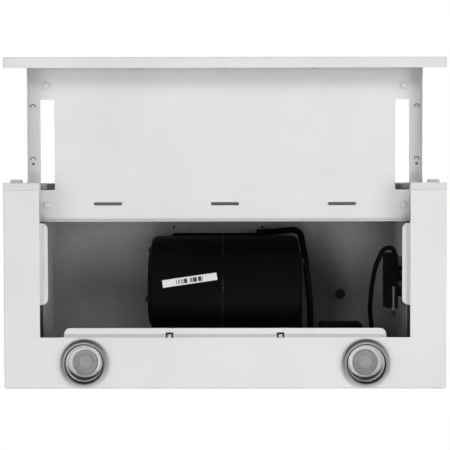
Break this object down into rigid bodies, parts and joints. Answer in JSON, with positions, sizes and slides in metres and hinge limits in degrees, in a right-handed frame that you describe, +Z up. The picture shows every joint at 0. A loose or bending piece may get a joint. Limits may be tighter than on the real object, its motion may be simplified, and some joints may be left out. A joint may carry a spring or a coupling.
{
  "type": "telescopic range hood",
  "caption": "Under-cabinet telescopic range hood with a pull-out visor, white sheet body, black centrifugal blower, round duct collar and underside lamps.",
  "frame": {"origin": "centre of the four cabinet screw holes, on the top plate's upper face that seats against the cabinet", "axes": "+X to the hood's right as seen from its front, +Y towards the kitchen wall, +Z up; the visor pulls out towards -Y"},
  "size_m": [0.6, 0.449, 0.2104],
  "materials": {
    "white_paint": "satin powder coat",
    "white_plastic": "fine satin",
    "galvanised": "dull galvanised sheet",
    "black_steel": "black oxide",
    "zinc_steel": "bright zinc plate",
    "black_plastic": "moulded, slight sheen",
    "grey_rubber": "matt",
    "black_rubber": "matt",
    "sticker": "smooth",
    "motor_steel": "pressed sheet",
    "iron_core": "laminated",
    "rotor_aluminium": "cast",
    "shaft_steel": "ground",
    "bearing_bronze": "sintered",
    "impeller_plastic": "moulded",
    "lead_sheath": "satin sleeve",
    "chrome_trim": "polished",
    "lamp_glass": "clear",
    "reflector": "bright anodised",
    "bulb_glass": "frosted",
    "holder_ceramic": "glazed",
    "spring_steel": "bright"
  },
  "bodies": {
    "hood": {"lower_pan": "white_paint", "end_cap_left": "white_plastic", "end_cap_right": "white_plastic", "front_bumpers": "grey_rubber", "top_plate": "white_paint", "casing_walls": "galvanised", "casing_top": "galvanised", "slide_outer_left": "zinc_steel", "slide_outer_right": "zinc_steel", "scroll_left": "black_plastic", "scroll_right": "black_plastic", "scroll_clip": "black_plastic", "blower_label": "sticker", "inlet_guard_left": "black_plastic", "inlet_guard_right": "black_plastic", "body_fasteners": "black_steel", "motor_can": "motor_steel", "motor_cover": "motor_steel", "motor_bearings": "bearing_bronze", "motor_stator": "iron_core", "motor_spider": "motor_steel", "outlet_spigot": "black_plastic", "flap_pin": "shaft_steel", "lamp_bezel_left": "chrome_trim", "lamp_bezel_right": "chrome_trim", "lamp_lenses": "lamp_glass", "lamp_reflectors": "reflector", "lamp_bulbs": "bulb_glass", "lamp_holders": "holder_ceramic", "lamp_springs": "spring_steel", "switch_block": "black_plastic", "switch_bracket": "galvanised", "switch_rod": "spring_steel", "switch_spring": "black_steel", "terminal_box": "black_plastic", "terminal_lid": "black_plastic", "capacitor": "white_plastic", "terminal_block": "white_plastic", "mains_gland": "black_rubber", "motor_lead": "lead_sheath", "switch_lead": "lead_sheath", "lamp_leads": "lead_sheath", "lead_clips": "black_plastic"},
    "visor": {"visor_panel": "white_paint", "front_fascia": "white_paint", "fascia_ends": "white_plastic", "visor_screws": "zinc_steel", "visor_glides": "white_plastic", "slide_inner_left": "zinc_steel", "slide_inner_right": "zinc_steel"},
    "cages": {"slide_cages": "zinc_steel"},
    "rotor": {"motor_shaft": "shaft_steel", "motor_rotor": "rotor_aluminium", "impeller_left": "impeller_plastic", "impeller_right": "impeller_plastic"},
    "flap_front": {"flap_front": "black_plastic"},
    "flap_rear": {"flap_rear": "black_plastic"},
    "key_low": {"switch_key_low": "black_plastic"},
    "key_high": {"switch_key_high": "black_plastic"},
    "key_light": {"switch_key_light": "black_plastic"}
  },
  "joints": [
    {"name": "visor_slide", "type": "slide", "parent": "hood", "child": "visor", "axis": [0, 1, 0], "range_m": [0, 0.154]},
    {"name": "cage_slide", "type": "slide", "parent": "hood", "child": "cages", "axis": [0, 1, 0], "range_m": [0, 0.077]},
    {"name": "rotor_spin", "type": "hinge", "parent": "hood", "child": "rotor", "pos_m": [0, 0.01, 0.0505], "axis": [1, 0, 0], "continuous": true},
    {"name": "flap_front_hinge", "type": "hinge", "parent": "hood", "child": "flap_front", "pos_m": [-0.011, -0.0085, 0.13], "axis": [-1, 0, 0], "range_deg": [0, 75]},
    {"name": "flap_rear_hinge", "type": "hinge", "parent": "hood", "child": "flap_rear", "pos_m": [-0.011, -0.0085, 0.13], "axis": [1, 0, 0], "range_deg": [0, 75]},
    {"name": "key_low_press", "type": "slide", "parent": "hood", "child": "key_low", "axis": [-1, 0, 0], "range_m": [0, 0.003], "stiffness_N_per_m": 200},
    {"name": "key_high_press", "type": "slide", "parent": "hood", "child": "key_high", "axis": [-1, 0, 0], "range_m": [0, 0.003], "stiffness_N_per_m": 200},
    {"name": "key_light_press", "type": "slide", "parent": "hood", "child": "key_light", "axis": [-1, 0, 0], "range_m": [0, 0.003], "stiffness_N_per_m": 200}
  ],
  "couplings": [
    {"joint": "cage_slide", "follows": "visor_slide", "ratio": 0.5}
  ]
}
